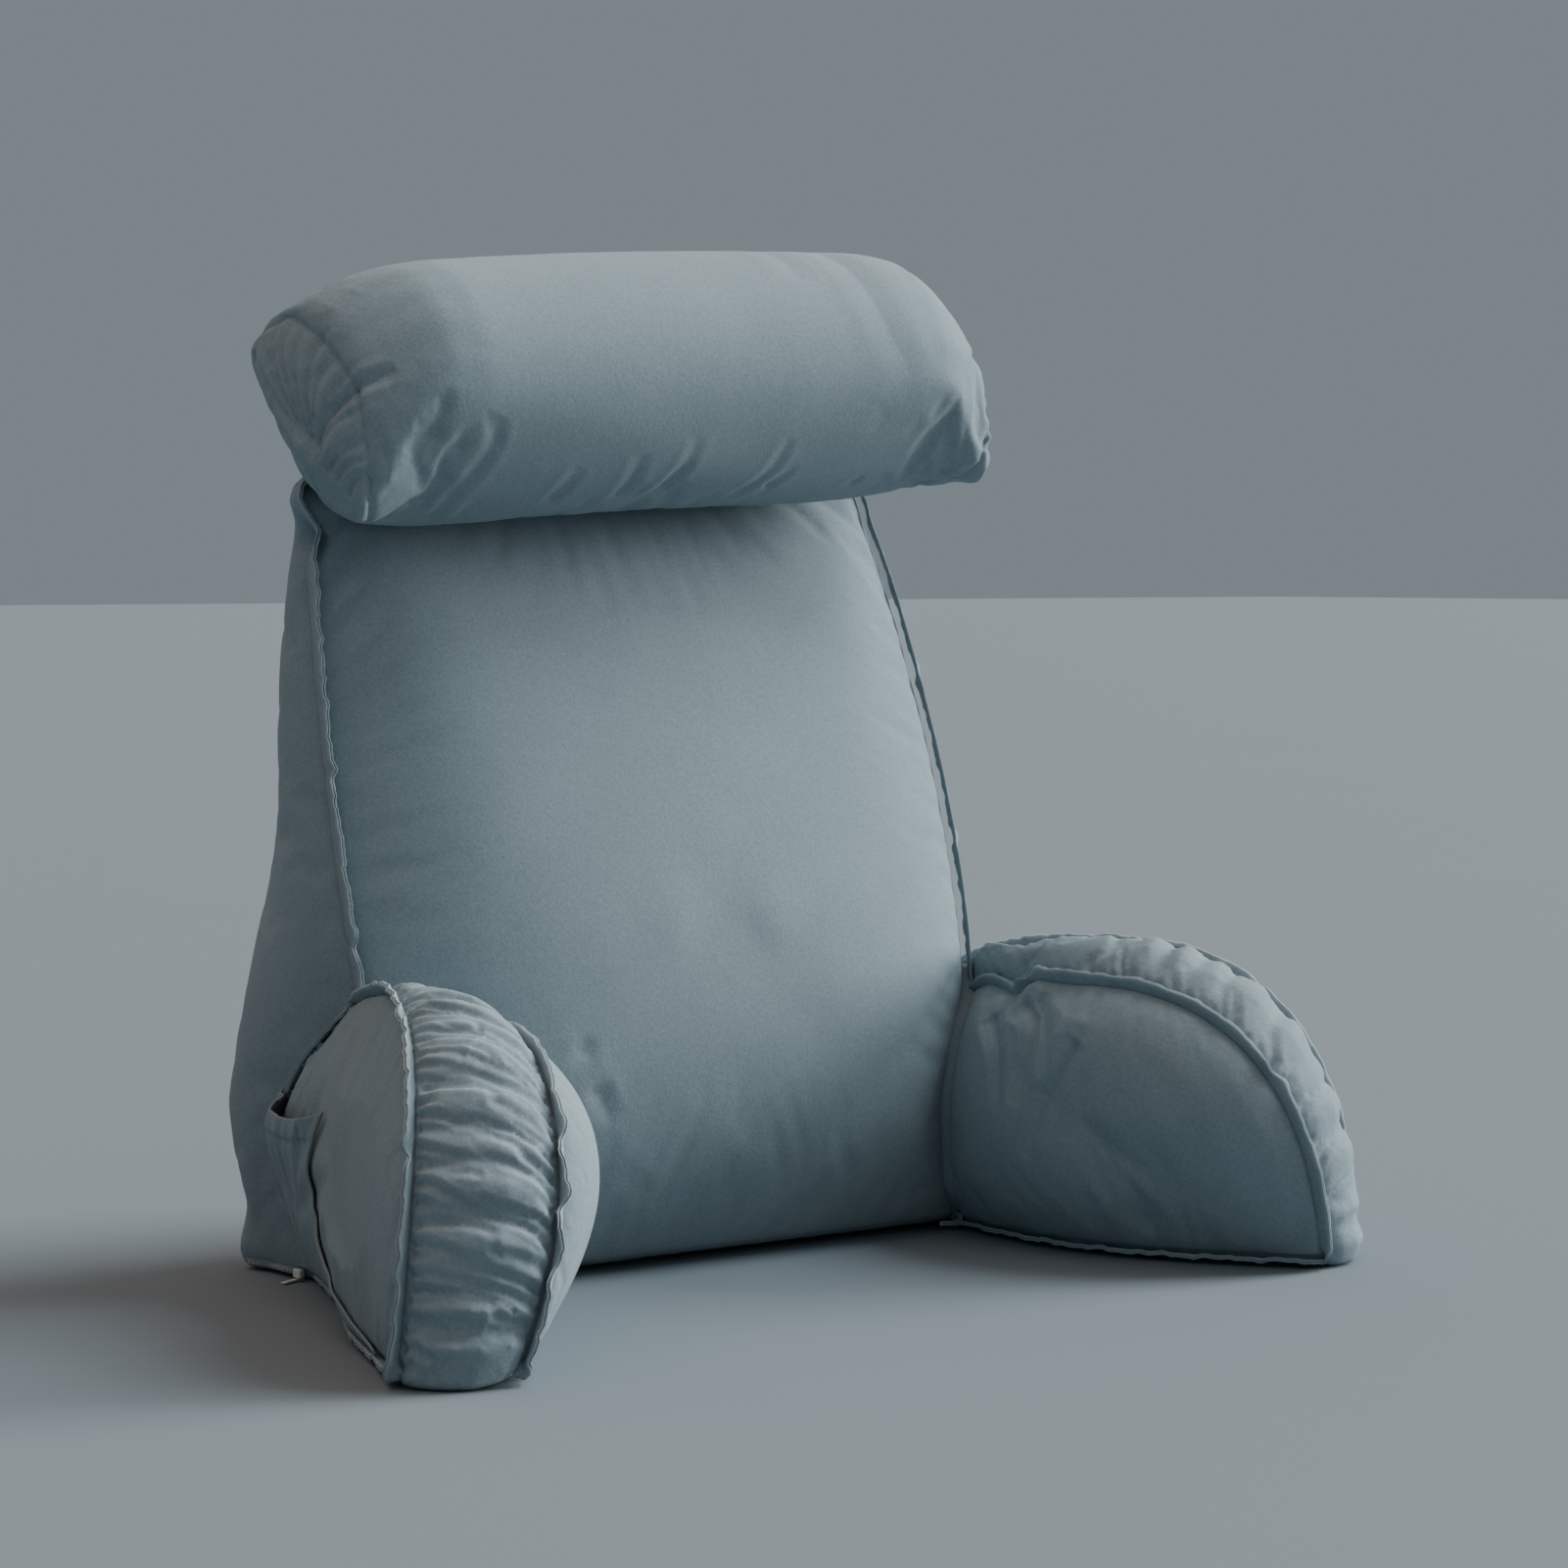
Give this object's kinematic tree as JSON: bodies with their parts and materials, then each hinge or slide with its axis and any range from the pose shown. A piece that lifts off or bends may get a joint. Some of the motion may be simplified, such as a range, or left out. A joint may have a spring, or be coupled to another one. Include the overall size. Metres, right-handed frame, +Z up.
{
  "type": "reading pillow",
  "caption": "Backrest cushion for reading in bed: a wedge back with two splayed arms, a neck roll on its top and a patch pocket on one arm.",
  "frame": {"origin": "on the ground, on the flat base of the back cushion, midway between the two arms", "axes": "+X across the pillow to the right arm as the sitter's front view shows it, +Y to the rear, +Z up"},
  "size_m": [0.7842, 0.488, 0.6809],
  "materials": {
    "cover": "matt washed cotton with a short brushed nap, blue-grey",
    "zip": "pale moulded teeth, slider and pull"
  },
  "bodies": {
    "root": {"back_cushion": "cover", "left_arm": "cover", "right_arm": "cover", "neck_roll": "cover", "arm_pocket": "cover", "zip_teeth": "zip", "zip_slider": "zip", "zip_pull": "zip"}
  },
  "joints": []
}
